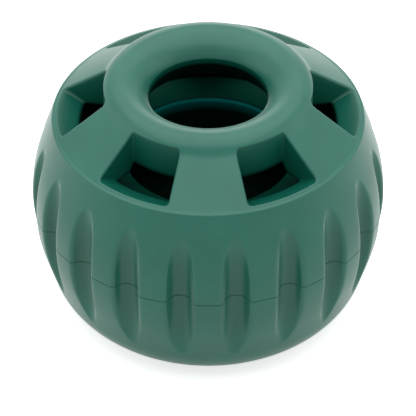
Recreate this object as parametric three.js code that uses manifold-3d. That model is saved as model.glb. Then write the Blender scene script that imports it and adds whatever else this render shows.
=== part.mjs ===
// Slow feeder treat ball, 80 mm across, in two moulded rubber halves.
// The lower half is a thick cup with a raised collar. The upper half is a dome with a
// round filling hole and six windows. Three lugs in the upper half turn under three
// ledges on the collar, so the halves lock with a short twist.
// Millimetres, +Z up. The origin is the middle of the flat foot.
import * as THREE from 'three';
import { mergeVertices } from 'three/addons/utils/BufferGeometryUtils.js';
import Module from 'manifold-3d';

const wasm = await Module();
wasm.setup();

const degree = Math.PI / 180;

// Side of the ball, shared by both halves: it bends round the belly, and runs straight from
// there up to the shoulder and down to the foot's bend
const bellyRadius = 40;
const bellyHeight = 28;
const upperBend = 41;
const upperBendRise = 13.7;
const lowerBend = 44.7;
const lowerBendDrop = 12.1;
const footBend = 13;

// Flutes: straight upright scallops all round the side, with a ridge at the front
const fluteCount = 20;
const fluteRadius = 3;
const fluteDepth = 3.1;

// Seam between the halves, just below the belly
const seamDrop = 0.3;
const seamGap = 0.3;

// Shoulder where the side turns in to the cone
const shoulderRise = 21.55;
const shoulderRound = 1;

// Windows through the cone
const windowCount = 6;
const windowRim = 1.05;
const windowReach = 10.55;
const windowHalfAngle = 15 * degree;
const windowCornerRound = 1;
const windowWallAngle = 28 * degree;

// Lip round the filling hole, and the hub that hangs below it
const lipRise = 5.65;
const lipOuterRound = 4.3;
const lipEndAngle = 26.3 * degree;
const lipBlendRound = 3;
const lipInnerReach = 7.1;
const lipInnerFall = 7.5;
const hubWall = 3.35;
const throatDrop = 4.5;
const throatLand = 1.6;
const hubDepth = 6;
const hubFlare = 1.9;
const hubFootRound = 0.5;

// Underside of the spokes, which steps down just outside the hub
const spokeDepth = 2.35;
const spokeStepStart = 0.3;
const spokeStepRun = 0.9;

// Twist lock: lugs in the upper half's socket, ledges and stop ribs on the lower collar
const socketWall = 8.3;
const lugCount = 3;
const lugAngle = 48 * degree;
const ledgeAngle = 48 * degree;
const ribAngle = 20 * degree;
const stopGapAngle = 1 * degree;
const lugReach = 3;
const lugHeight = 5;
const ledgeHeight = 4;
const lugRoot = 1;
const runningClearance = 0.4;
const facingClearance = 0.3;

// Collar of the lower half, which stands up inside the upper half. Its top slopes in to the
// mouth like a funnel.
const collarWall = 6.2;
const collarHead = 4.65;
const collarMouthDrop = 2.7;
const collarMouthRound = 1.2;
const collarRimRound = 0.8;

// Cup inside the lower half
const cupWall = 12;
const cupFloor = 7;
const cupFloorRound = 10;
const cupNeckLength = 11.8;
const cupFlareHeight = 8;
const cupNeckRound = 3;

// Cutting tools run past the faces that they cut
const overrun = 5;

// Steps round curved faces
const turnSteps = 48;
const sideSteps = 5;
const roundSteps = 3;
const lipSteps = 5;
const fluteSides = 16;
const sectorSteps = 6;

// Heights and radii that follow from the sizes above, from the side inwards
const shoulderHeight = bellyHeight + shoulderRise;
const seamHeight = bellyHeight - seamDrop;
const seamFaceLow = seamHeight - seamGap / 2;
const seamFaceHigh = seamHeight + seamGap / 2;
const windowOuterRadius = sideRadius(shoulderHeight) - windowRim;
const windowInnerRadius = windowOuterRadius - windowReach;
const lipCentreRadius = windowInnerRadius - hubWall;
const lipCentreHeight = shoulderHeight + lipRise;
const lipTop = lipCentreHeight + lipOuterRound;
const throatAngle = Math.asin((lipInnerFall - throatDrop) / lipInnerFall);
const throatRadius = lipCentreRadius - lipInnerReach * Math.cos(throatAngle);
const hubFootHeight = lipCentreHeight - hubDepth;
const spokeUnderside = shoulderHeight - spokeDepth;
const socketRadius = bellyRadius - fluteDepth - socketWall;
const collarRadius = socketRadius - runningClearance - lugReach;
const collarBore = collarRadius - collarWall;
const lugTop = seamFaceHigh + lugHeight;
const ledgeBottom = lugTop + facingClearance;
const ledgeTop = ledgeBottom + ledgeHeight;
const collarTop = ledgeTop + collarHead;
const cupRadius = bellyRadius - cupWall;
const cupNeckHeight = collarTop - cupNeckLength;
const cupShoulderHeight = cupNeckHeight - cupFlareHeight;

// Radius of the smooth side at a height, on the bend or on the straight run past it.
function sideRadius(height) {
  const bend = height > bellyHeight ? upperBend : lowerBend;
  const bendReach = height > bellyHeight ? upperBendRise : lowerBendDrop;
  const rise = Math.abs(height - bellyHeight);
  const bent = Math.min(rise, bendReach);
  const inward = Math.sqrt(bend * bend - bent * bent);
  return bellyRadius - bend + inward - (rise - bent) * bent / inward;
}

// Points up the smooth side between two heights, with one run on each straight part.
function sidePoints(from, to) {
  const bendLow = Math.max(from, bellyHeight - lowerBendDrop);
  const bendHigh = Math.min(to, bellyHeight + upperBendRise);
  const heights = from < bendLow ? [from] : [];
  for (let i = 0; i <= sideSteps; i += 1) {
    heights.push(THREE.MathUtils.lerp(bendLow, bendHigh, i / sideSteps));
  }
  if (bendHigh < to) {
    heights.push(to);
  }
  return heights.map((height) => new THREE.Vector2(sideRadius(height), height));
}

// Points on an elliptical arc. Equal half widths make it round.
function arcPoints(centre, halfWidth, halfHeight, from, to, steps) {
  const points = [];
  for (let i = 0; i <= steps; i += 1) {
    const angle = THREE.MathUtils.lerp(from, to, i / steps);
    const across = halfWidth * Math.cos(angle);
    const up = halfHeight * Math.sin(angle);
    points.push(new THREE.Vector2(centre.x + across, centre.y + up));
  }
  return points;
}

// An arc that rounds the corner between two straight runs and touches both.
function roundCorner(before, corner, after, radius) {
  const back = before.clone().sub(corner).normalize();
  const ahead = after.clone().sub(corner).normalize();
  const halfTurn = Math.acos(THREE.MathUtils.clamp(back.dot(ahead), -1, 1)) / 2;
  const middle = back.clone().add(ahead).normalize();
  const centre = corner.clone().addScaledVector(middle, radius / Math.sin(halfTurn));
  const setback = radius / Math.tan(halfTurn);
  const start = corner.clone().addScaledVector(back, setback).sub(centre);
  const turn = Math.sign(back.cross(ahead)) * (Math.PI - 2 * halfTurn);
  const points = [];
  for (let i = 0; i <= roundSteps; i += 1) {
    const spoke = start.clone().rotateAround(new THREE.Vector2(), -turn * i / roundSteps);
    points.push(centre.clone().add(spoke));
  }
  return points;
}

// A closed solid from a geometry, with its shared vertices merged.
function solidOf(geometry) {
  geometry.deleteAttribute('normal');
  geometry.deleteAttribute('uv');
  const merged = mergeVertices(geometry);
  const corners = merged.index.array;
  const kept = [];
  for (let i = 0; i < corners.length; i += 3) {
    const [a, b, c] = corners.slice(i, i + 3);
    if (a !== b && b !== c && c !== a) {
      kept.push(a, b, c);
    }
  }
  return new wasm.Manifold(new wasm.Mesh({
    numProp: 3,
    vertProperties: new Float32Array(merged.attributes.position.array),
    triVerts: new Uint32Array(kept),
  }));
}

// A solid turned round the ball's axis from a profile of radius and height.
function turned(profile) {
  return solidOf(new THREE.LatheGeometry(profile, turnSteps).rotateX(Math.PI / 2));
}

// An upright solid with a flat outline, between two heights and turned about the axis.
function upright(outline, low, high, angle) {
  const settings = { depth: high - low, bevelEnabled: false, curveSegments: sectorSteps };
  const geometry = new THREE.ExtrudeGeometry(outline, settings);
  return solidOf(geometry.translate(0, 0, low).rotateZ(angle));
}

// A sector of a ring between two radii and two angles.
function sector(inner, outer, from, to) {
  const outline = new THREE.Shape();
  outline.absarc(0, 0, outer, from, to, false);
  outline.absarc(0, 0, inner, to, from, true);
  return outline;
}

// The mesh of a finished solid.
function meshOf(solid, name, material) {
  const { vertProperties, triVerts } = solid.getMesh();
  const geometry = new THREE.BufferGeometry();
  geometry.setAttribute('position', new THREE.BufferAttribute(vertProperties, 3));
  geometry.setIndex(new THREE.BufferAttribute(triVerts, 1));
  geometry.computeVertexNormals();
  const mesh = new THREE.Mesh(geometry, material);
  mesh.name = name;
  return mesh;
}

// Green natural rubber, moulded matte.
function greenRubber() {
  return new THREE.MeshStandardMaterial({ color: 0x4a7d6c, roughness: 0.6, metalness: 0 });
}

// Cuts the flutes: a ring of upright round cutters that run out where the side narrows.
function cutFlutes(solid) {
  const height = lipTop + 2 * overrun;
  const ringRadius = bellyRadius - fluteDepth + fluteRadius;
  let result = solid;
  for (let i = 0; i < fluteCount; i += 1) {
    const angle = (i + 0.5) * 2 * Math.PI / fluteCount;
    const cutter = new THREE.CylinderGeometry(fluteRadius, fluteRadius, height, fluteSides);
    cutter.rotateX(Math.PI / 2).translate(ringRadius, 0, lipTop / 2).rotateZ(angle);
    result = result.subtract(solidOf(cutter));
  }
  return result;
}

// Foot and side of the lower half, from the axis out and up to the seam.
function lowerOutside() {
  const lean = Math.asin(lowerBendDrop / lowerBend);
  const bendEnd = bellyHeight - lowerBendDrop;
  const wallRadius = sideRadius(bendEnd) - (bendEnd - footBend) * Math.tan(lean);
  const footCentre = new THREE.Vector2(wallRadius - footBend / Math.cos(lean), footBend);
  const joinHeight = footBend - footBend * Math.sin(lean);
  const foot = arcPoints(footCentre, footBend, footBend, -Math.PI / 2, -lean, sideSteps);
  return [new THREE.Vector2(0, 0), ...foot, ...sidePoints(joinHeight, seamFaceLow).slice(1)];
}

// Collar and cup, from the seam face up, over the rim and down to the cup's floor.
function lowerInside() {
  const base = new THREE.Vector2(collarRadius, seamFaceLow);
  const rim = new THREE.Vector2(collarRadius, collarTop);
  const mouth = new THREE.Vector2(collarBore, collarTop - collarMouthDrop);
  const neck = new THREE.Vector2(collarBore, cupNeckHeight);
  const shoulder = new THREE.Vector2(cupRadius, cupShoulderHeight);
  const corner = new THREE.Vector2(cupRadius, cupFloor);
  const middle = new THREE.Vector2(0, cupFloor);
  return [
    base,
    ...roundCorner(base, rim, mouth, collarRimRound),
    ...roundCorner(rim, mouth, neck, collarMouthRound),
    ...roundCorner(mouth, neck, shoulder, cupNeckRound),
    ...roundCorner(neck, shoulder, corner, cupNeckRound),
    ...roundCorner(shoulder, corner, middle, cupFloorRound),
    middle,
  ];
}

// Stop rib and ledge of one lock, side by side round the collar.
function addLedges(solid) {
  const inner = collarRadius - lugRoot;
  const outer = collarRadius + lugReach;
  const rib = sector(inner, outer, -ribAngle, 0);
  const ledge = sector(inner, outer, -ribAngle, ledgeAngle);
  let result = solid;
  for (let i = 0; i < lugCount; i += 1) {
    const angle = i * 2 * Math.PI / lugCount;
    result = result.add(upright(rib, seamFaceLow - lugRoot, ledgeTop, angle));
    result = result.add(upright(ledge, ledgeBottom, ledgeTop, angle));
  }
  return result;
}

function lowerShell() {
  const body = turned([...lowerOutside(), ...lowerInside()]);
  return meshOf(addLedges(cutFlutes(body)), 'lower_shell', greenRubber());
}

// Side, cone, lip and throat of the upper half, from the seam up to the throat's edge.
function upperOutside() {
  const shoulder = new THREE.Vector2(sideRadius(shoulderHeight), shoulderHeight);
  const side = sidePoints(seamFaceHigh, shoulderHeight - shoulderRound);
  const lipCentre = new THREE.Vector2(lipCentreRadius, lipCentreHeight);
  const lipEnd = new THREE.Vector2(lipOuterRound, 0).rotateAround(new THREE.Vector2(), lipEndAngle);
  const meet = lipCentre.clone().add(lipEnd);
  const blendAngle = lipEndAngle + lipBlendRound / lipOuterRound / 2;
  const outerLip = arcPoints(lipCentre, lipOuterRound, lipOuterRound, blendAngle, Math.PI / 2, lipSteps);
  const innerCentre = new THREE.Vector2(lipCentreRadius, lipTop - lipInnerFall);
  const innerEnd = Math.PI - throatAngle;
  const innerLip = arcPoints(innerCentre, lipInnerReach, lipInnerFall, Math.PI / 2, innerEnd, lipSteps);
  return [
    ...side,
    ...roundCorner(side.at(-1), shoulder, meet, shoulderRound),
    ...roundCorner(shoulder, meet, outerLip[0], lipBlendRound),
    ...outerLip.slice(1),
    ...innerLip.slice(1),
  ];
}

// Throat, hub, spoke underside and socket, from below the throat's edge down to the seam.
function upperInside() {
  const throat = new THREE.Vector2(throatRadius, lipTop - throatDrop - throatLand);
  const hubInner = new THREE.Vector2(throatRadius + hubFlare, hubFootHeight);
  const stepStart = windowInnerRadius + spokeStepStart;
  const hubOuter = new THREE.Vector2(stepStart, hubFootHeight);
  const spokeInner = new THREE.Vector2(stepStart + spokeStepRun, spokeUnderside);
  const ceiling = new THREE.Vector2(socketRadius, spokeUnderside);
  const base = new THREE.Vector2(socketRadius, seamFaceHigh);
  return [
    throat,
    ...roundCorner(throat, hubInner, hubOuter, hubFootRound),
    hubOuter,
    spokeInner,
    ceiling,
    base,
  ];
}

// Plan of one window: a ring sector with rounded corners, centred on +X.
function windowOutline() {
  const round = windowCornerRound;
  const outer = windowOuterRadius - round;
  const inner = windowInnerRadius + round;
  const outerTurn = windowHalfAngle - Math.asin(round / outer);
  const innerTurn = windowHalfAngle - Math.asin(round / inner);
  const square = Math.PI / 2;
  const outline = new THREE.Shape();
  const corner = (radius, turn, from, to) => {
    outline.absarc(radius * Math.cos(turn), radius * Math.sin(turn), round, from, to, false);
  };
  outline.absarc(0, 0, windowOuterRadius, -outerTurn, outerTurn, false);
  corner(outer, outerTurn, outerTurn, windowHalfAngle + square);
  corner(inner, innerTurn, windowHalfAngle + square, Math.PI + innerTurn);
  outline.absarc(0, 0, windowInnerRadius, innerTurn, -innerTurn, true);
  corner(inner, -innerTurn, Math.PI - innerTurn, Math.PI + square - windowHalfAngle);
  corner(outer, -outerTurn, -windowHalfAngle - square, -outerTurn);
  return outline;
}

// Space above the windows' sloping outer walls, which start at the socket's top edge.
function windowSpace() {
  const top = lipTop + overrun;
  const wallRun = windowOuterRadius + overrun - socketRadius;
  const wallRise = wallRun * Math.tan(windowWallAngle);
  const low = new THREE.Vector2(socketRadius, spokeUnderside - overrun);
  const edge = new THREE.Vector2(socketRadius, spokeUnderside);
  const high = new THREE.Vector2(socketRadius + wallRun, spokeUnderside + wallRise);
  return turned([
    new THREE.Vector2(0, low.y),
    low,
    edge,
    high,
    new THREE.Vector2(high.x, top + wallRise),
    new THREE.Vector2(0, top + wallRise),
  ]);
}

function cutWindows(solid) {
  const space = windowSpace();
  const outline = windowOutline();
  let result = solid;
  for (let i = 0; i < windowCount; i += 1) {
    const angle = i * 2 * Math.PI / windowCount;
    const prism = upright(outline, spokeUnderside - overrun, lipTop + overrun, angle);
    result = result.subtract(prism.intersect(space));
  }
  return result;
}

// Lugs of the upper half, at rest locked under the collar's ledges.
function addLugs(solid) {
  const inner = collarRadius + runningClearance;
  const outer = socketRadius + lugRoot;
  const lug = sector(inner, outer, stopGapAngle, stopGapAngle + lugAngle);
  let result = solid;
  for (let i = 0; i < lugCount; i += 1) {
    result = result.add(upright(lug, seamFaceHigh, lugTop, i * 2 * Math.PI / lugCount));
  }
  return result;
}

function upperShell() {
  const body = turned([...upperOutside(), ...upperInside(), upperOutside()[0]]);
  return meshOf(addLugs(cutWindows(cutFlutes(body))), 'upper_shell', greenRubber());
}

const ball = new THREE.Group();
ball.add(lowerShell(), upperShell());

export default ball;
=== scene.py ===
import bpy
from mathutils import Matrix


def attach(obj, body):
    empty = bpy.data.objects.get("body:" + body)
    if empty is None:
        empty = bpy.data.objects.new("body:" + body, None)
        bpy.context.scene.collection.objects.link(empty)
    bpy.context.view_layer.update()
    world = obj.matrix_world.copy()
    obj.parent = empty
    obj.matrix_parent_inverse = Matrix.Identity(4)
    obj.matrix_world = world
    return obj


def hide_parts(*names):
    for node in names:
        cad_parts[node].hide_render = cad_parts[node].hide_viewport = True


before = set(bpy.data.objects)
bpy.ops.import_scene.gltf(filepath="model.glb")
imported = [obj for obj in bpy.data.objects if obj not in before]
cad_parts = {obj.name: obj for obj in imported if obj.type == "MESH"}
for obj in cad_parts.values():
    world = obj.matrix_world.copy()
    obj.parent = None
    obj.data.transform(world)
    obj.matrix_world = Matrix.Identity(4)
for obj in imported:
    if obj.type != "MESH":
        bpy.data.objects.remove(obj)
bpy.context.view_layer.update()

import math

import bmesh
import bpy
import numpy as np
from mathutils import Vector

# Camera. It looks down on the ball from the front, with the long lens of a catalogue
# picture. Its rise, distance and lens come from the ball's outline, lip and seam.
MM = 0.001
view_rise = math.radians(40.1)
view_distance = 650 * MM
look_at = Vector((-0.03, 0, 22.15)) * MM
frame_pixels = 416
pixels_per_mm = 4.35
sensor_width = 36
clip_reach = 10

camera_data = bpy.data.cameras.new("camera")
camera_data.sensor_width = sensor_width
camera_data.lens = pixels_per_mm * view_distance / MM * sensor_width / frame_pixels
camera_data.clip_start = view_distance / clip_reach
camera_data.clip_end = view_distance * clip_reach
camera = bpy.data.objects.new("camera", camera_data)
toward_camera = Vector((0, -math.cos(view_rise), math.sin(view_rise)))
camera.location = look_at + toward_camera * view_distance
camera.rotation_euler = toward_camera.to_track_quat("Z", "Y").to_euler()
bpy.context.collection.objects.link(camera)
bpy.context.scene.camera = camera
bpy.context.scene.view_settings.view_transform = "Standard"


# Floor and lights. The ball stands on a white sweep in a light tent: soft lamps overhead, on
# each side and low behind, and white walls that the world stands for. Lengths are in metres,
# but the floor's drop, which keeps it clear of the foot, is in mm.
floor_size = 2.4
floor_drop = 0.05
overhead_size = 1.2
overhead_back = 0.1
overhead_height = 0.8
overhead_power = 6.5
side_size = 0.8
side_distance = 0.9
side_height = 0.35
side_power = 1.4
rear_size = 0.5
rear_distance = 1.0
rear_height = 0.25
rear_power = 1.1
tent_strength = 0.48
paper_lift = 0.66
mirror_lift = 0.1
paper_colour = "f0f0f0"
white = "ffffff"


def linear(colour):
    """sRGB hex text such as 4e8472 to linear red, green, blue and alpha, by the sRGB curve."""
    channels = np.array([int(colour[i:i + 2], 16) for i in (0, 2, 4)]) / 255
    low = channels / 12.92
    high = ((channels + 0.055) / 1.055) ** 2.4
    return (*np.where(channels > 0.04045, high, low).tolist(), 1.0)


def add_node(tree, kind, settings=None, in_order=(), **inputs):
    """Adds one node to a tree. Names in settings are set on the node itself. Values in order
    go to the first inputs, and the keyword inputs, with underscores for spaces, to their own.
    Each is set, or linked where it is an output of another node."""
    node = tree.nodes.new(kind)
    for name, value in (settings or {}).items():
        setattr(node, name, value)
    named = [(name.replace("_", " "), value) for name, value in inputs.items()]
    for key, value in [*enumerate(in_order), *named]:
        socket = node.inputs[key]
        if isinstance(value, bpy.types.NodeSocket):
            tree.links.new(value, socket)
        else:
            socket.default_value = value
    return node


def new_material(name):
    """An empty node material and its tree."""
    material = bpy.data.materials.new(name)
    material.use_nodes = True
    material.node_tree.nodes.clear()
    return material, material.node_tree


# Matt white paper. It is a little brighter where it is seen or mirrored, so that it reads
# white round the ball and keeps the ball's soft shadow.
paper, tree = new_material("white_paper_sweep")
light_path = add_node(tree, "ShaderNodeLightPath").outputs
mirrored = add_node(tree, "ShaderNodeMath", {"operation": "MULTIPLY"},
                    (light_path["Is Glossy Ray"], mirror_lift))
lift = add_node(tree, "ShaderNodeMath", {"operation": "MULTIPLY_ADD"},
                (light_path["Is Camera Ray"], paper_lift, mirrored.outputs[0]))
diffuse = add_node(tree, "ShaderNodeBsdfDiffuse", Color=linear(paper_colour))
glow = add_node(tree, "ShaderNodeEmission", Color=linear(white), Strength=lift.outputs[0])
both = add_node(tree, "ShaderNodeAddShader", None, (diffuse.outputs[0], glow.outputs[0]))
add_node(tree, "ShaderNodeOutputMaterial", Surface=both.outputs[0])

floor_mesh = bpy.data.meshes.new("floor")
half = floor_size / 2
down = -floor_drop * MM
corners = [(-half, -half, down), (half, -half, down), (half, half, down), (-half, half, down)]
floor_mesh.from_pydata(corners, [], [(0, 1, 2, 3)])
floor_mesh.materials.append(paper)
floor = bpy.data.objects.new("floor", floor_mesh)
bpy.context.collection.objects.link(floor)


def add_softbox(name, place, size, power):
    """A square area lamp of a size at a place, turned to face the ball's foot."""
    lamp = bpy.data.lights.new(name, "AREA")
    lamp.shape = "SQUARE"
    lamp.size = size
    lamp.energy = power
    box = bpy.data.objects.new(name, lamp)
    box.location = place
    box.rotation_euler = Vector(place).to_track_quat("Z", "Y").to_euler()
    bpy.context.collection.objects.link(box)


add_softbox("overhead_softbox", (0, overhead_back, overhead_height), overhead_size, overhead_power)
for name, side in (("left_softbox", -1), ("right_softbox", 1)):
    add_softbox(name, (side * side_distance, 0, side_height), side_size, side_power)
add_softbox("rear_softbox", (0, rear_distance, rear_height), rear_size, rear_power)

# The tent's walls are white where they are seen or mirrored, and light the ball a bit less.
world = bpy.data.worlds.new("light_tent")
world.use_nodes = True
tree = world.node_tree
tree.nodes.clear()
light_path = add_node(tree, "ShaderNodeLightPath").outputs
seen = add_node(tree, "ShaderNodeMath", {"operation": "MAXIMUM"},
                (light_path["Is Camera Ray"], light_path["Is Glossy Ray"]))
through = add_node(tree, "ShaderNodeMath", {"operation": "MAXIMUM"},
                   (seen.outputs[0], light_path["Is Transmission Ray"]))
strength = add_node(tree, "ShaderNodeMapRange", Value=through.outputs[0], To_Min=tent_strength)
wall = add_node(tree, "ShaderNodeBackground", Color=linear(white),
                Strength=strength.outputs["Result"])
add_node(tree, "ShaderNodeOutputWorld", Surface=wall.outputs[0])
bpy.context.scene.world = world


# Lower half: a thick cup moulded from green natural rubber. Its collar stands up inside
# the upper half, with three ledges and stop ribs for the twist lock. Lengths are in mm.
belly_radius = 40.0
belly_height = 28.0
upper_bend = 41.5
upper_bend_rise = 13.7
lower_bend = 44.7
lower_bend_drop = 12.1
foot_bend = 12.6
seam_height = 27.9
seam_gap = 0.12
seam_edge_round = 0.12
flute_count = 20
flute_radius = 2.9
flute_depth = 3.1
flute_edge_round = 1.0
collar_radius = 25.2
collar_rim = 41.8
collar_rim_round = 0.8
collar_bore = 19.0
collar_mouth = 39.1
collar_mouth_round = 1.2
cup_radius = 28.0
cup_floor = 7.0
cup_floor_round = 10.0
cup_neck_height = 30.0
cup_shoulder_height = 22.0
cup_neck_round = 3.0
lug_reach = 3.0
ledge_low = 33.15
ledge_high = 37.15
lock_edge = 0.3
lock_run = 1.0
rib_degrees = 20
ledge_degrees = 48
pole_radius = 1.0

# Columns across half a flute's pitch: over the scallop, its rounded edge and half the ridge.
# Past the end of a flute, where it is shallower than the least depth, they relax to even ones.
# The middle of the first flute is in pitches from +X.
scallop_columns = 5
edge_columns = 4
ridge_columns = 3
half_columns = scallop_columns + edge_columns + ridge_columns
column_count = 2 * half_columns * flute_count
half_pitch = math.pi / flute_count
flute_ring = belly_radius - flute_depth + flute_radius
flute_bottom = belly_radius - flute_depth
least_depth = 0.3
flute_relax_run = 1.6
first_flute = -1.5


def shares(count):
    """Even shares from 0 to 1 in count steps."""
    return np.linspace(0, 1, count + 1)


def smooth(share):
    """Clamps to 0 to 1 and eases both ends: 3 s^2 - 2 s^3."""
    s = np.clip(share, 0, 1)
    return s * s * (3 - 2 * s)


def side_radius(height):
    """Radius of the plain side: the belly's radius less the sag of a circle of the upper or
    lower bend at that rise from the belly. Past the bend it follows the circle's tangent."""
    rise = height - belly_height
    bend = np.where(rise > 0, upper_bend, lower_bend)
    bent = np.clip(rise, -lower_bend_drop, upper_bend_rise)
    inward = np.sqrt(bend ** 2 - bent ** 2)
    return belly_radius - bend + inward - (rise - bent) * bent / inward


def flute_edge(body):
    """Where a flute's rounded edge sits at a body radius: its circle rolls inside the body
    and outside the scallop, so the cosine rule gives its azimuth. Returns the circle's
    azimuth and distance from the axis, and the angle at the scallop's centre."""
    reach = body - flute_edge_round
    span = flute_radius + flute_edge_round
    cosine = (reach ** 2 + flute_ring ** 2 - span ** 2) / (2 * reach * flute_ring)
    touch = np.arccos(np.clip(cosine, -1, 1))
    lean = np.arctan2(reach * np.sin(touch), flute_ring - reach * np.cos(touch))
    return touch, reach, lean


def fluted_radius(azimuth, body):
    """Radius of the fluted side at an azimuth from the flute's middle. It is the scallop's
    circle in the middle, then the rolling edge circle, then the plain body."""
    touch, reach, lean = flute_edge(body)
    azimuth = np.abs(azimuth)
    join = np.arctan2(flute_radius * np.sin(lean), flute_ring - flute_radius * np.cos(lean))
    across = np.minimum(flute_ring * np.sin(azimuth), flute_radius)
    scallop = flute_ring * np.cos(azimuth) - np.sqrt(flute_radius ** 2 - across ** 2)
    past = np.clip(reach * np.sin(touch - azimuth), -flute_edge_round, flute_edge_round)
    edge = reach * np.cos(touch - azimuth) + np.sqrt(flute_edge_round ** 2 - past ** 2)
    fluted = np.where(azimuth <= join, scallop, np.where(azimuth < touch, edge, body))
    return np.where(body > flute_bottom, fluted, body)


def flute_columns(body):
    """Azimuths of all the columns for rows of body radii. They follow the scallop and its
    edges, so the edges stay crisp, and relax to even spacing past the flute's end."""
    place = np.maximum(body, flute_bottom + least_depth)
    touch, reach, lean = flute_edge(place)
    turn = lean * shares(scallop_columns)
    scallop = np.arctan2(flute_radius * np.sin(turn), flute_ring - flute_radius * np.cos(turn))
    along, aside = reach * np.cos(touch), reach * np.sin(touch)
    start = np.arctan2(-aside, flute_ring - along)
    swing = start + (touch - start) * shares(edge_columns)[1:]
    edge = np.arctan2(aside + flute_edge_round * np.sin(swing),
                      along + flute_edge_round * np.cos(swing))
    ridge = touch + (half_pitch - touch) * shares(ridge_columns)[1:]
    half_row = np.concatenate([scallop, edge, ridge], axis=1)
    even = half_pitch * shares(half_columns)
    relaxed = smooth((flute_bottom + least_depth - body) / flute_relax_run)
    half_row = half_row + (even - half_row) * relaxed
    return np.concatenate([-half_row[:, ::-1], half_row[:, 1:-1]], axis=1)


def turned(radius, azimuth, height):
    """Points in mm from radius, azimuth and height, which may be rows, columns or both."""
    radius, azimuth, height = np.broadcast_arrays(radius, azimuth, height)
    return np.stack([radius * np.cos(azimuth), radius * np.sin(azimuth), height], axis=-1)


# The middles of the flutes lie half a pitch to either side of +X, so a ridge faces the front.
pitch_starts = np.repeat((np.arange(flute_count) + first_flute) * 2 * half_pitch,
                         2 * half_columns)
even_offsets = np.tile(half_pitch * np.linspace(-1, 1, 2 * half_columns + 1)[:-1], flute_count)
even_columns = pitch_starts + even_offsets


def fluted_rows(heights, inset=0.0, body_heights=None):
    """Rows of the fluted side at given heights, moved inwards by an inset. The body radius
    may be taken at other heights, as round the seam's edge."""
    heights = np.asarray(heights, float)[:, None]
    body = side_radius(heights if body_heights is None else np.asarray(body_heights)[:, None])
    offsets = np.tile(flute_columns(body), (1, flute_count))
    radius = fluted_radius(offsets, body) - np.asarray(inset, float).reshape(-1, 1)
    return turned(radius, pitch_starts + offsets, heights)


def arc(centre, across, up, start, end, count):
    """Points (radius, height) on an ellipse: the centre plus across cos a and up sin a, with a
    in degrees from start to end."""
    angle = np.radians(start + (end - start) * shares(count))
    return np.column_stack([centre[0] + across * np.cos(angle), centre[1] + up * np.sin(angle)])


def rounded(corners, rounds, count=6):
    """A path of (radius, height) corners whose corners are replaced by circles that touch
    both runs. A round of 0 keeps the corner sharp. Ends stay as they are."""
    corners = np.asarray(corners, float)
    path = [corners[:1]]
    for before, corner, after, radius in zip(corners, corners[1:], corners[2:], rounds):
        if radius == 0:
            path.append(corner[None])
            continue
        back = (before - corner) / np.linalg.norm(before - corner)
        ahead = (after - corner) / np.linalg.norm(after - corner)
        half_turn = math.acos(np.clip(back @ ahead, -1, 1)) / 2
        middle = (back + ahead) / np.linalg.norm(back + ahead)
        centre = corner + middle * radius / math.sin(half_turn)
        first = corner + back * radius / math.tan(half_turn) - centre
        last = corner + ahead * radius / math.tan(half_turn) - centre
        turn = math.atan2(first[0] * last[1] - first[1] * last[0], first @ last)
        angle = turn * shares(count)[:, None]
        side = np.array([-first[1], first[0]])
        path.append(centre + first * np.cos(angle) + side * np.sin(angle))
    path.append(corners[-1:])
    return np.concatenate(path)


def filled(path, step):
    """The same path with points added along each run so that none is longer than a step."""
    path = np.asarray(path, float)
    runs = np.linalg.norm(np.diff(path, axis=0), axis=1)
    parts = [a + (b - a) * shares(max(1, math.ceil(run / step)))[:-1, None]
             for a, b, run in zip(path, path[1:], runs)]
    return np.concatenate([*parts, path[-1:]])


# A step in the lock takes four columns or rows close round its edge: how far each stands from
# the edge, and how much of the step it has.
step_offsets = lock_edge * np.array([-1, -0.25, 0.25, 1])
step_shares = np.array([0, 0.12, 0.88, 1])
free_columns = 3


def lock_columns(edges):
    """Azimuths of the even columns, with four drawn in to each edge of the lock so that its
    end walls are steep, and the free columns beside them stretched. Returns them and, for
    each edge, a 0 to 1 step over the columns."""
    step = 2 * math.pi / column_count
    first = even_columns[0]
    known, places, walls = [0, column_count], [first, first + 2 * math.pi], []
    for edge in sorted(edges):
        index = int((edge - first) / step) - 1
        drawn = index + np.arange(4)
        before, after = index - free_columns, index + 3 + free_columns
        known += [before, *drawn, after]
        places += [first + before * step, *(edge + step_offsets / collar_radius),
                   first + after * step]
        walls.append(np.interp(np.arange(column_count), drawn, step_shares))
    order = np.argsort(known)
    azimuth = np.interp(np.arange(column_count), np.array(known)[order], np.array(places)[order])
    return azimuth, walls


def wall_rows(height, rises=True):
    """Four heights close round a step in the lock, and the step's 0 to 1 share at each."""
    return height + step_offsets, step_shares if rises else 1 - step_shares


# Points closer than the merge distance are one point, and runs shorter than the sliver length
# go. Above these shares of the painted inside shade a face gets the second or the third material.
merge_distance = 0.001
sliver_length = 0.0001
dull_shares = [0.2, 0.6]
sharp_angle = math.radians(50)


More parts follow.
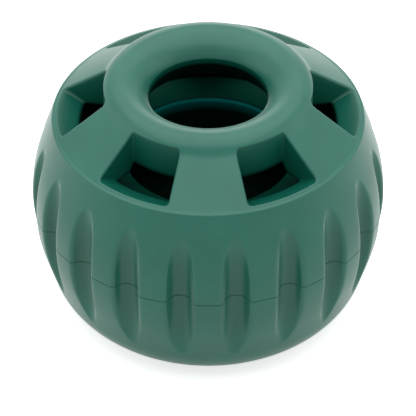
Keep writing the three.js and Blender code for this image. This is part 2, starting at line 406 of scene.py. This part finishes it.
def shell_object(name, grids, painted_shades, side_heights, poles=()):
    """One closed mesh from grids of points in mm whose last column joins the first. Painted shades
    give each grid's rows their share of painted shade inside, and the depth below the plain side
    between the side heights gives the flutes' share of painted shade. A pole is (grid number, row,
    height) and closes that row to a point on the axis. Doubled points are merged, and faces turned
    outwards. A face's least share of painted shade picks its material."""
    points, faces, point_shades, starts, first = [], [], [], [], 0
    for grid, painted_shade in zip(grids, painted_shades):
        point_shades.append(np.repeat(np.asarray(painted_shade, float), grid.shape[1]))
        rows, columns = grid.shape[:2]
        row = np.arange(rows - 1)[:, None] * columns
        column = np.arange(columns)[None, :]
        after = (column + 1) % columns
        quads = np.stack([row + column, row + after, row + columns + after, row + columns + column],
                         axis=-1)
        faces.append(first + quads.reshape(-1, 4))
        points.append(grid.reshape(-1, 3))
        starts.append(first)
        first += rows * columns
    fans = []
    for number, row, height in poles:
        columns = grids[number].shape[1]
        ring = starts[number] + (row % grids[number].shape[0]) * columns + np.arange(columns)
        fans += [(int(a), int(b), first) for a, b in zip(ring, np.roll(ring, -1))]
        points.append(np.array([[0.0, 0.0, height]]))
        point_shades.append(np.asarray(painted_shades[number], float)[[row]])
        first += 1
    mesh = bpy.data.meshes.new(name)
    quads = [tuple(f) for f in np.concatenate(faces).tolist()]
    x, y, z = np.concatenate(points).T
    mesh.from_pydata((np.column_stack([x, y, z]) * MM).tolist(), [], quads + fans)
    painted_shade = np.concatenate(point_shades).astype(np.float32)
    skin = mesh.attributes.new("inside_shade", "FLOAT", "POINT")
    skin.data.foreach_set("value", painted_shade)
    # The flutes' depth gives their share of painted shade, darker in the recesses.
    on_side = (painted_shade == 0) & (z > side_heights[0]) & (z < side_heights[1])
    depth = np.where(on_side, side_radius(z) - np.hypot(x, y), 0)
    fluted = mesh.attributes.new("flute_shade", "FLOAT", "POINT")
    fluted.data.foreach_set("value", smooth(depth / flute_depth).astype(np.float32))
    work = bmesh.new()
    work.from_mesh(mesh)
    bmesh.ops.remove_doubles(work, verts=work.verts, dist=merge_distance * MM)
    bmesh.ops.dissolve_degenerate(work, edges=work.edges, dist=sliver_length * MM)
    bmesh.ops.recalc_face_normals(work, faces=work.faces)
    if work.calc_volume(signed=True) < 0:
        bmesh.ops.reverse_faces(work, faces=work.faces)
    work.to_mesh(mesh)
    work.free()
    painted_shade = np.empty(len(mesh.vertices), np.float32)
    mesh.attributes["inside_shade"].data.foreach_get("value", painted_shade)
    corner_vertex = np.empty(len(mesh.loops), np.int32)
    mesh.loops.foreach_get("vertex_index", corner_vertex)
    first_corner = np.empty(len(mesh.polygons), np.int32)
    mesh.polygons.foreach_get("loop_start", first_corner)
    least_shade = np.minimum.reduceat(painted_shade[corner_vertex], first_corner)
    skin_number = np.digitize(least_shade, dull_shares).astype(np.int32)
    mesh.polygons.foreach_set("material_index", skin_number)
    mesh.polygons.foreach_set("use_smooth", np.ones(len(mesh.polygons), bool))
    mesh.set_sharp_from_angle(angle=sharp_angle)
    piece = bpy.data.objects.new(name, mesh)
    bpy.context.collection.objects.link(piece)
    return piece


# The side goes down from the seam's rounded edge to the foot, and the foot ends on the axis.
side_steps = 33
seam_edge_steps = 4
seam_face_steps = 5
foot_bend_steps = 14
foot_run = 5.0
seam_low = seam_height - seam_gap / 2
edge_turn = np.radians(90 * shares(seam_edge_steps))
edge_drop = seam_edge_round * (1 - np.sin(edge_turn))
edge_inset = seam_edge_round * (1 - np.cos(edge_turn))
low_edge = fluted_rows(seam_low - edge_drop, edge_inset, np.full(len(edge_turn), seam_low))
lean = math.asin(lower_bend_drop / lower_bend)
foot_centre = (float(side_radius(foot_bend)) - foot_bend / math.cos(lean), foot_bend)
foot_join = -math.degrees(lean)
foot_join_height = foot_bend - foot_bend * math.sin(lean)
low_side = fluted_rows(np.linspace(seam_low - 2 * seam_edge_round, foot_join_height,
                                   side_steps + 1))
foot_curve = arc(foot_centre, foot_bend, foot_bend, foot_join, -90, foot_bend_steps)
foot_path = filled(np.vstack([foot_curve[1:], [[foot_centre[0] / 2, 0], [pole_radius, 0]]]),
                   foot_run)
foot_rows = turned(foot_path[:, :1], even_columns, foot_path[:, 1:])

# The collar wall stands out by the lock's reach where a ledge or a stop rib covers it. The
# ledges start at these azimuths in degrees, and a rib ends where each ledge starts.
ledge_starts = np.array([0, 120, 240])
lock_edges = np.concatenate([np.radians(ledge_starts) + math.radians(turn)
                             for turn in (-rib_degrees, 0, ledge_degrees)])
collar_columns, lock_walls = lock_columns(lock_edges)
wall_of = dict(zip(np.round(np.degrees(np.sort(lock_edges))).astype(int), lock_walls))


def between(start, end):
    """1 on the columns from one lock edge to another, in degrees, and 0 elsewhere."""
    return np.clip(wall_of[start] - wall_of[end], 0, 1)


rib_share = np.max([between(start - rib_degrees, start) for start in ledge_starts], axis=0)
ledge_share = np.max([between(start - rib_degrees, start + ledge_degrees)
                      for start in ledge_starts], axis=0)
low_heights, low_shares = wall_rows(ledge_low)
high_heights, high_shares = wall_rows(ledge_high, rises=False)
below_ledge = np.linspace(seam_low, ledge_low - lock_run, 4)
wall_heights = np.concatenate([below_ledge, low_heights, [(ledge_low + ledge_high) / 2],
                               high_heights])
ledge_rows = np.concatenate([np.zeros(len(below_ledge)), low_shares, [1], high_shares])[:, None]
rib_rows = np.concatenate([np.ones(len(ledge_rows) - len(high_shares)), high_shares])[:, None]
lock_share = np.maximum(rib_share * rib_rows, ledge_share * ledge_rows)
collar_rows = turned(collar_radius + lug_reach * lock_share, collar_columns, wall_heights[:, None])

seam_share = shares(seam_face_steps)[1:-1, None, None]
seam_face = low_edge[-1] + (collar_rows[0] - low_edge[-1]) * seam_share

cup_corners = [(collar_radius, ledge_high + lock_edge), (collar_radius, collar_rim),
               (collar_bore, collar_mouth), (collar_bore, cup_neck_height),
               (cup_radius, cup_shoulder_height), (cup_radius, cup_floor),
               (pole_radius, cup_floor)]
cup_rounds = [collar_rim_round, collar_mouth_round, cup_neck_round, cup_neck_round,
              cup_floor_round]
cup_run = 2.5
cup_relax_run = 3.0
cup_path = filled(rounded(cup_corners, cup_rounds), cup_run)[1:]
relax = smooth((collar_radius - cup_path[:, :1]) / cup_relax_run)
cup_columns = collar_columns + (even_columns - collar_columns) * relax
cup_rows = turned(cup_path[:, :1], cup_columns, cup_path[:, 1:])

# Inside it the skin is painted dark, as shade. The funnel between the collar's rim and its bore
# is painted lighter, as light falling in through the hole, and a painted turquoise highlight ring
# shows just below the mouth, which a shade share above 1 marks. Places are shares of the funnel's
# height, up from the mouth.
funnel_light = 0.4
funnel_top = 1.3
funnel_foot = -0.5
ring_highlight_place = -0.14
ring_highlight_width = 0.3
outside = np.concatenate([foot_rows[::-1], low_side[::-1], low_edge])
inside = np.concatenate([seam_face, collar_rows, cup_rows])
past_mouth = (cup_path[:, 1] - collar_mouth) / (collar_rim - collar_mouth)
in_bore = cup_path[:, 0] < collar_radius - collar_rim_round
painted_funnel_light = funnel_light * smooth(funnel_top - past_mouth) * smooth(1 - past_mouth / funnel_foot)
painted_funnel_light = np.where(in_bore, painted_funnel_light, 0)
ring_highlight = np.where(in_bore, smooth(1 - np.abs(past_mouth - ring_highlight_place) / ring_highlight_width), 0)
lower_shade = np.concatenate([np.zeros(len(outside)), np.ones(len(inside) - len(cup_path)),
                            1 - painted_funnel_light * (1 - ring_highlight) + ring_highlight])
lower_shell = shell_object("lower_half_rubber", [np.concatenate([outside, inside])],
                           [lower_shade], (foot_join_height, seam_height),
                           [(0, 0, 0.0), (0, -1, cup_floor)])

# Natural rubber, compression moulded in a fine-blasted mould: a matt skin that goes pale
# where it turns away, with a faint mottle and a grain far finer than a millimetre.
rubber_colour = "0b6151"
rubber_pale = "116857"
# The flute, inside and deep colours are painted shade: darker in the flutes' recesses, dark inside,
# and near black deep inside. The ring colour is a painted turquoise highlight.
flute_shade_colour = "035c4b"
inside_shade_colour = "064437"
ring_highlight_colour = "009690"
deep_shade_colour = "02211a"
bloom_colour = "e8f4ee"
bloom_weight = 0.7
bloom_roughness = 0.3
skin_roughness = (0.3, 0.4)
core_roughness = 0.32
mottle_size = 9.0
mottle_range = (0.3, 0.7)
grain_size = 0.35
grain_height = 0.012
grain_strength = 0.5
deep_shade_share = 0.7
ring_highlight_share = 1.8
dull_speculars = {"dull_wall": 0.38, "dull_inside": 0.03}

rubber, tree = new_material("green_moulded_rubber")
place = add_node(tree, "ShaderNodeTexCoord").outputs["Object"]
mottle = add_node(tree, "ShaderNodeTexNoise", Vector=place, Scale=1 / (mottle_size * MM),
                  Detail=3.0, Roughness=0.5)
tone = add_node(tree, "ShaderNodeValToRGB", Fac=mottle.outputs["Fac"])
for stop, position, shade in zip(tone.color_ramp.elements, mottle_range,
                                 (rubber_colour, rubber_pale)):
    stop.position = position
    stop.color = linear(shade)
grain = add_node(tree, "ShaderNodeTexNoise", Vector=place, Scale=1 / (grain_size * MM),
                 Detail=2.0, Roughness=0.6)
blasted = add_node(tree, "ShaderNodeMapRange", Value=grain.outputs["Fac"],
                   To_Min=skin_roughness[0], To_Max=skin_roughness[1])
inside_shade = add_node(tree, "ShaderNodeAttribute", {"attribute_name": "inside_shade"}).outputs["Fac"]
fluted = add_node(tree, "ShaderNodeAttribute", {"attribute_name": "flute_shade"}).outputs["Fac"]
# The flutes are painted darker by their depth share: painted shade in the recesses.
outer = add_node(tree, "ShaderNodeMixRGB", Fac=fluted, Color1=tone.outputs["Color"],
                 Color2=linear(flute_shade_colour))
# Faces inside are painted darker by their share of inside shade, and near black past the deep shade
# share: painted shade.
inside_shaded = add_node(tree, "ShaderNodeMixRGB", Fac=inside_shade, Color1=outer.outputs["Color"],
                 Color2=linear(inside_shade_colour))
deep_shade = add_node(tree, "ShaderNodeMapRange", Value=inside_shade, From_Min=deep_shade_share)
inner = add_node(tree, "ShaderNodeMixRGB", Fac=deep_shade.outputs["Result"],
                 Color1=inside_shaded.outputs["Color"], Color2=linear(deep_shade_colour))
# A share above 1 paints the turquoise highlight ring below the collar's mouth.
ring_highlight = add_node(tree, "ShaderNodeMapRange", Value=inside_shade, From_Min=1.0, From_Max=ring_highlight_share)
colour = add_node(tree, "ShaderNodeMixRGB", Fac=ring_highlight.outputs["Result"],
                  Color1=inner.outputs["Color"], Color2=linear(ring_highlight_colour))
roughness = add_node(tree, "ShaderNodeMapRange", Value=inside_shade, To_Min=blasted.outputs[0],
                     To_Max=core_roughness)
bump = add_node(tree, "ShaderNodeBump", Height=grain.outputs["Fac"], Strength=grain_strength,
                Distance=grain_height * MM)
skin = add_node(tree, "ShaderNodeBsdfPrincipled", Base_Color=colour.outputs["Color"],
                Roughness=roughness.outputs["Result"], Normal=bump.outputs["Normal"],
                IOR=1.5, Sheen_Weight=bloom_weight, Sheen_Roughness=bloom_roughness,
                Sheen_Tint=linear(bloom_colour))
add_node(tree, "ShaderNodeOutputMaterial", Surface=skin.outputs["BSDF"])

# The windows' walls and the faces deep inside are the same rubber, duller and without the
# pale bloom.
skins = [rubber]
for finish, specular in dull_speculars.items():
    duller = rubber.copy()
    duller.name = f"green_rubber_{finish}"
    dull_skin = duller.node_tree.nodes[skin.name]
    dull_skin.inputs["Specular IOR Level"].default_value = specular
    dull_skin.inputs["Sheen Weight"].default_value = 0
    skins.append(duller)

for material in skins:
    lower_shell.data.materials.append(material)
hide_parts("lower_shell")
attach(lower_shell, "lower_half")


# Upper half: a dome of the same rubber. Its lip and hub surround the filling hole, and six
# windows through its cone leave six spokes. Its socket turns round the collar on three lugs.
shoulder_height = 49.45
shoulder_round = 0.5
ledge_run = 0.5
ledge_rise = 0.05
ledge_blend_round = 0.6
window_count = 6
window_rim = 1.16
window_reach = 10.55
window_half_angle = math.radians(15)
window_corner_round = 0.8
window_edge_round = 0.6
window_foot_inner = 23.3
window_foot_angle = math.radians(14)
window_foot_round = 0.3
wall_shade = 0.4
lip_rise = 5.75
lip_outer_round = 4.3
lip_end_angle = 26.3
lip_blend_round = 3.0
hub_wall = 3.34
lip_inner_reach = 7.3
lip_inner_fall = 8.2
throat_drop = 4.5
throat_edge_round = 0.2
throat_land = 1.6
throat_land_round = 0.4
throat_shade = 0.2
throat_shade_rise = 0.9
hub_depth = 6.0
hub_foot_radius = 15.3
hub_foot_round = 0.5
hub_foot_rim = 1.0
spoke_depth = 2.25
spoke_step_start = 0.3
spoke_step_run = 0.9
spoke_rounds = [0, 0.5, 0.3]
socket_radius = 28.6
socket_start = 46.4
socket_relax_run = 8.0
lug_high = 32.85
lug_start_degrees = 1
lug_degrees = 48

shoulder_radius = float(side_radius(shoulder_height))
window_outer = shoulder_radius - window_rim
window_inner = window_outer - window_reach
lip_radius = window_inner - hub_wall
lip_height = shoulder_height + lip_rise
lip_top = lip_height + lip_outer_round
hub_foot = lip_height - hub_depth
spoke_underside = shoulder_height - spoke_depth

# Profile of the top, from the shoulder over a narrow ledge, up the cone and over the lip to
# its crest. A hollow blend circle touches both the cone's line and the lip's circle.
profile_steps = 5
shoulder_steps = 6
blend_steps = 8
lip_steps = 40
meet = np.array([lip_radius + lip_outer_round * math.cos(math.radians(lip_end_angle)),
                 lip_height + lip_outer_round * math.sin(math.radians(lip_end_angle))])
shoulder = np.array([shoulder_radius, shoulder_height])
ledge_end = shoulder + [-ledge_run, ledge_rise]
cone_way = (meet - ledge_end) / np.linalg.norm(meet - ledge_end)
cone_up = np.array([cone_way[1], -cone_way[0]])
lip_centre = np.array([lip_radius, lip_height])
stand = (ledge_end - lip_centre) @ cone_up
back_off = math.sqrt((lip_outer_round + lip_blend_round) ** 2 - (stand + lip_blend_round) ** 2)
blend_centre = lip_centre + cone_up * (stand + lip_blend_round) - cone_way * back_off
toward_lip = math.degrees(math.atan2(*(lip_centre - blend_centre)[::-1]))
toward_cone = math.degrees(math.atan2(*(-cone_up)[::-1]))
blend = arc(blend_centre, lip_blend_round, lip_blend_round, toward_cone, toward_lip,
            blend_steps)
lip_start = math.degrees(math.atan2(*(blend_centre - lip_centre)[::-1]))
lip_outside = arc(lip_centre, lip_outer_round, lip_outer_round, lip_start, 90, lip_steps)
side_top = np.array([float(side_radius(shoulder_height - shoulder_round)),
                     shoulder_height - shoulder_round])
shoulder_path = rounded([side_top, shoulder, ledge_end], [shoulder_round],
                        shoulder_steps)[1:-1]
ledge_path = rounded([shoulder_path[-1], ledge_end, blend[0]], [ledge_blend_round],
                     profile_steps)[:-1]
top_path = np.vstack([ledge_path, blend, lip_outside])


def top_height(radius):
    """Height of the cone, blend and lip at a radius, read off the profile."""
    return np.interp(radius, top_path[::-1, 0], top_path[::-1, 1])


# Profile of the underside as a path length, from the socket wall in to the hub's foot.
step_start = window_inner + spoke_step_start
hub_foot_start = window_inner - hub_foot_rim
under_corners = [(socket_radius, socket_start), (socket_radius, spoke_underside),
                 (step_start + spoke_step_run, spoke_underside), (step_start, hub_foot),
                 (hub_foot_start, hub_foot)]
under_path = rounded(under_corners, spoke_rounds, profile_steps)
under_runs = np.linalg.norm(np.diff(under_path, axis=0), axis=1)
under_length = np.concatenate([[0], np.cumsum(under_runs)])
under_corner_length = spoke_underside - socket_start


def under_point(length):
    """Radius and height on the underside at a path length from the socket wall's start."""
    return (np.interp(length, under_length, under_path[:, 0]),
            np.interp(length, under_length, under_path[:, 1]))


# Side of the dome, from the seam's rounded edge up over the shoulder.
side_top_gap = 0.3
seam_high = seam_height + seam_gap / 2
high_edge = fluted_rows(seam_high + edge_drop, edge_inset, np.full(len(edge_turn), seam_high))
high_side = fluted_rows(np.linspace(seam_high + 2 * seam_edge_round,
                                    shoulder_path[0, 1] - side_top_gap, side_steps + 1))
shoulder_rows = turned(shoulder_path[:, :1], even_columns, shoulder_path[:, 1:])

# One window: a sleeve of rows round its outline, from the cone over the rounded edge, down
# the wall and out along the underside. The outline is a ring sector with rounded corners. The
# inner loop runs on the lip, a little outside its crest.
spoke_rows = 24
spoke_power = 1.25
corner_steps = 40
outer_arc_steps = 200
inner_arc_steps = 150
outline_run = 0.08
cone_steps = 10
cone_power = 1.5
edge_steps = 6
wall_steps = 7
foot_edge_steps = 4
under_steps = 8
loop_rim = 1.5
sector = math.pi / window_count
arc_columns = column_count // window_count
outer_loop = shoulder_path[-1, 0]
inner_loop = lip_radius + loop_rim
inner_length = under_length[-1]


def window_outline():
    """Points of the window's outline in plan, with the middle of the window on +X: arcs at
    the inner and outer radius, radial sides, and a circle in each corner."""
    outer = window_outer - window_corner_round
    inner = window_inner + window_corner_round
    outer_turn = window_half_angle - math.asin(window_corner_round / outer)
    inner_turn = window_half_angle - math.asin(window_corner_round / inner)
    square = math.pi / 2

    def circle(centre, radius, start, end, count):
        angle = start + (end - start) * shares(count)
        return np.column_stack([centre[0] + radius * np.cos(angle),
                                centre[1] + radius * np.sin(angle)])

    def corner(radius, turn, start, end):
        centre = (radius * math.cos(turn), radius * math.sin(turn))
        return circle(centre, window_corner_round, start, end, corner_steps)

    parts = [
        circle((0, 0), window_outer, -outer_turn, outer_turn, outer_arc_steps),
        corner(outer, outer_turn, outer_turn, window_half_angle + square),
        corner(inner, inner_turn, window_half_angle + square, math.pi + inner_turn),
        circle((0, 0), window_inner, inner_turn, -inner_turn, inner_arc_steps),
        corner(inner, -inner_turn, math.pi - inner_turn, math.pi + square - window_half_angle),
        corner(outer, -outer_turn, -window_half_angle - square, -outer_turn),
    ]
    return filled(np.vstack([*parts, parts[0][:1]]), outline_run)[:-1]


def loop(outer, inner):
    """Radius-like value and azimuth round a sector's edge: out along one spoke's middle, in
    along the next, with the dome's columns on the outer and inner arcs."""
    across = sector * np.linspace(-1, 1, arc_columns + 1)
    inward = outer + (inner - outer) * shares(spoke_rows) ** spoke_power
    value = np.concatenate([np.full(arc_columns, outer), inward[:-1],
                            np.full(arc_columns, inner), inward[:0:-1]])
    azimuth = np.concatenate([across[:-1], np.full(spoke_rows, sector), across[:0:-1],
                              np.full(spoke_rows, -sector)])
    return value, azimuth


outline = window_outline()
window_middle = (window_inner + window_outer) / 2
tangent = np.roll(outline, -1, axis=0) - np.roll(outline, 1, axis=0)
tangent /= np.linalg.norm(tangent, axis=1, keepdims=True)
outward = np.column_stack([tangent[:, 1], -tangent[:, 0]])
outline_angle = np.arctan2(outline[:, 1], outline[:, 0] - window_middle)
order = np.argsort(outline_angle)

top_radius, top_azimuth = loop(outer_loop, inner_loop)
ray = np.arctan2(top_radius * np.sin(top_azimuth),
                 top_radius * np.cos(top_azimuth) - window_middle)


def at_rays(values):
    """Reads values given round the outline at the rays through the sector's edge points."""
    return np.column_stack([np.interp(ray, outline_angle[order], column[order],
                                      period=2 * math.pi) for column in values.T])


edge_plan = at_rays(outline)
edge_out = at_rays(outward)
edge_out /= np.linalg.norm(edge_out, axis=1, keepdims=True)
edge_radius = np.hypot(*edge_plan.T)
edge_azimuth = np.arctan2(edge_plan[:, 1], edge_plan[:, 0])
radial = np.column_stack([np.cos(edge_azimuth), np.sin(edge_azimuth)])
out_radial = (edge_out * radial).sum(axis=1)
out_along = edge_out[:, 1] * radial[:, 0] - edge_out[:, 0] * radial[:, 1]

# The wall's foot is a smaller outline: it draws in to the socket's edge, and the spokes' sides
# lean in a degree.
foot_share = (socket_radius - window_foot_inner) / window_reach
wall_foot_radius = window_foot_inner + (edge_radius - window_inner) * foot_share
wall_foot_azimuth = edge_azimuth * window_foot_angle / window_half_angle
falling = under_length >= under_corner_length
foot_length = np.interp(-wall_foot_radius, -under_path[falling, 0], under_length[falling])
wall_foot_height = under_point(foot_length)[1]


def rounded_edge(before, corner, after, count):
    """Rows on a circle-like arc from before to after, touching the lines to the corner: a
    rational curve whose weight is the cosine of half the turn."""
    into = corner - before
    out = after - corner
    cosine = (into * out).sum(-1) / np.linalg.norm(into, axis=-1) / np.linalg.norm(out, axis=-1)
    weight = np.sqrt((1 + np.clip(cosine, -1, 1)) / 2)[None, :, None]
    s = shares(count)[:, None, None]
    top = (1 - s) ** 2 * before + 2 * s * (1 - s) * weight * corner + s ** 2 * after
    return top / ((1 - s) ** 2 + 2 * s * (1 - s) * weight + s ** 2)


# The wall runs from the rim to the foot. Its rounded edge touches the wall and the top, whose
# slope is read over the probe's length.
probe = 0.05
rim_point = turned(edge_radius, edge_azimuth, top_height(edge_radius))
foot_point = turned(wall_foot_radius, wall_foot_azimuth, wall_foot_height)
wall_way = foot_point - rim_point
wall_way /= np.linalg.norm(wall_way, axis=1, keepdims=True)
probe_plan = edge_plan + edge_out * probe
probe_point = np.column_stack([probe_plan, top_height(np.hypot(*probe_plan.T))])
top_way = probe_point - rim_point
top_way /= np.linalg.norm(top_way, axis=1, keepdims=True)
turn_cosine = -(top_way * wall_way).sum(axis=1)
half_turn = np.arccos(np.clip(turn_cosine, -1, 1)) / 2
setback = window_edge_round * np.tan(half_turn)[:, None]
start_plan = edge_plan + edge_out * setback * np.linalg.norm(top_way[:, :2], axis=1)[:, None]
start_radius = np.hypot(*start_plan.T)
start_azimuth = np.arctan2(start_plan[:, 1], start_plan[:, 0])
start_point = turned(start_radius, start_azimuth, top_height(start_radius))
wall_top = rim_point + wall_way * setback
edge_rows = rounded_edge(start_point, rim_point, wall_top, edge_steps)

# Rows of the cone and of the lip's side come closer together towards the rounded edge.
flat_share = (1 - (1 - shares(cone_steps)) ** cone_power)[:-1, None]
cone_radius = top_radius + (start_radius - top_radius) * flat_share
cone_azimuth = top_azimuth + (start_azimuth - top_azimuth) * flat_share
cone_rows = turned(cone_radius, cone_azimuth, top_height(cone_radius))

# Foot of the wall: a small round on to the underside, then out to the sector's edge.
under_value, under_azimuth = loop(0.0, inner_length)
leave_length = foot_length - out_radial * window_foot_round
leave_azimuth = wall_foot_azimuth + out_along * window_foot_round / wall_foot_radius
leave_radius, leave_height = under_point(leave_length)
leave_point = turned(leave_radius, leave_azimuth, leave_height)
wall_bottom = foot_point - wall_way * window_foot_round
foot_edge_rows = rounded_edge(wall_bottom, foot_point, leave_point, foot_edge_steps)
wall_share = shares(wall_steps)[1:-1, None, None]
wall_rows_between = wall_top + (wall_bottom - wall_top) * wall_share
out_share = shares(under_steps)[1:, None]
under_rows_length = leave_length + (under_value - leave_length) * out_share
under_rows_azimuth = leave_azimuth + (under_azimuth - leave_azimuth) * out_share
under_radius, under_height = under_point(under_rows_length)
under_rows = turned(under_radius, under_rows_azimuth, under_height)
sleeve = np.concatenate([cone_rows, edge_rows, wall_rows_between, foot_edge_rows, under_rows])
# The windows' walls are painted a little darker, and the underside dark: painted shade.
sleeve_shade = np.concatenate([np.zeros(len(cone_rows)), wall_shade * shares(len(edge_rows) - 1),
                              np.full(len(wall_rows_between), wall_shade),
                              np.ones(len(foot_edge_rows) + len(under_rows))])

sleeves = []
for window in range(window_count):
    turn = window * 2 * sector
    x, y, z = np.moveaxis(sleeve, -1, 0)
    sleeves.append(np.stack([x * math.cos(turn) - y * math.sin(turn),
                             x * math.sin(turn) + y * math.cos(turn), z], axis=-1))

# Lip and hub: over the crest, down into the hole to its sharp throat, and down the hub's
# flared bore to its foot. The skin is painted a little darker above the throat, and fully dark
# below it, as shade.
lip_over_steps = 5
lip_inside_steps = 16
hub_run = 1.5
inner_centre = np.array([lip_radius, lip_top - lip_inner_fall])
throat_angle = math.degrees(math.asin((lip_inner_fall - throat_drop) / lip_inner_fall))
lip_from = math.degrees(math.acos((inner_loop - lip_radius) / lip_outer_round))
lip_over = arc(lip_centre, lip_outer_round, lip_outer_round, lip_from, 90, lip_over_steps)
lip_inside = arc(inner_centre, lip_inner_reach, lip_inner_fall, 90, 180 - throat_angle,
                 lip_inside_steps)
throat = lip_inside[-1]
land_end = (throat[0], throat[1] - throat_land)
hub_path = rounded([lip_inside[-2], throat, land_end, (hub_foot_radius, hub_foot),
                    (hub_foot_start, hub_foot)],
                   [throat_edge_round, throat_land_round, hub_foot_round], profile_steps)[1:]
hub_path = filled(hub_path, hub_run)
lip_path = np.vstack([lip_over, lip_inside[1:-1], hub_path])
above_throat = lip_path[:, 1] - throat[1]
in_throat = smooth(1 - above_throat / throat_shade_rise)
below_throat = smooth((throat_edge_round - above_throat) / throat_land)
lip_shade = throat_shade * in_throat + (1 - throat_shade) * below_throat
lip_rows = turned(lip_path[:, :1], even_columns, lip_path[:, 1:])

# Socket: straight down from the ceiling, with three lugs that stand in from the wall.
lug_starts = np.radians(ledge_starts + lug_start_degrees)
lug_edges = np.concatenate([lug_starts, lug_starts + math.radians(lug_degrees)])
socket_columns, lug_walls = lock_columns(lug_edges)
lug_share = sum(lug_walls[0::2]) - sum(lug_walls[1::2])
lug_heights, lug_shares = wall_rows(lug_high, rises=False)
above_lug = np.linspace(socket_start, lug_high + lock_run, 5)
beside_lug = np.linspace(lug_high - lock_run, seam_high, 4)
socket_heights = np.concatenate([above_lug, lug_heights[::-1], beside_lug])
lug_rows = np.concatenate([np.zeros(len(above_lug)), lug_shares[::-1],
                           np.ones(len(beside_lug))])[:, None]
socket_relax = smooth((socket_start - socket_heights) / socket_relax_run)[:, None]
socket_azimuth = even_columns + (socket_columns - even_columns) * socket_relax
socket_rows = turned(socket_radius - lug_reach * lug_share * lug_rows, socket_azimuth,
                     socket_heights[:, None])
high_face = socket_rows[-1] + (high_edge[-1] - socket_rows[-1]) * seam_share
side_inside = np.concatenate([socket_rows, high_face])
side_outside = np.concatenate([high_edge[::-1], high_side, shoulder_rows])
# The socket inside is painted dark: painted shade.
side_shade = np.concatenate([np.ones(len(side_inside)), np.zeros(len(side_outside))])
upper_shell = shell_object(
    "upper_half_rubber", [np.concatenate([side_inside, side_outside]), *sleeves, lip_rows],
    [side_shade, *[sleeve_shade] * window_count, lip_shade], (seam_height, side_top[1]))
for material in skins:
    upper_shell.data.materials.append(material)
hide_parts("upper_shell")
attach(upper_shell, "upper_half")
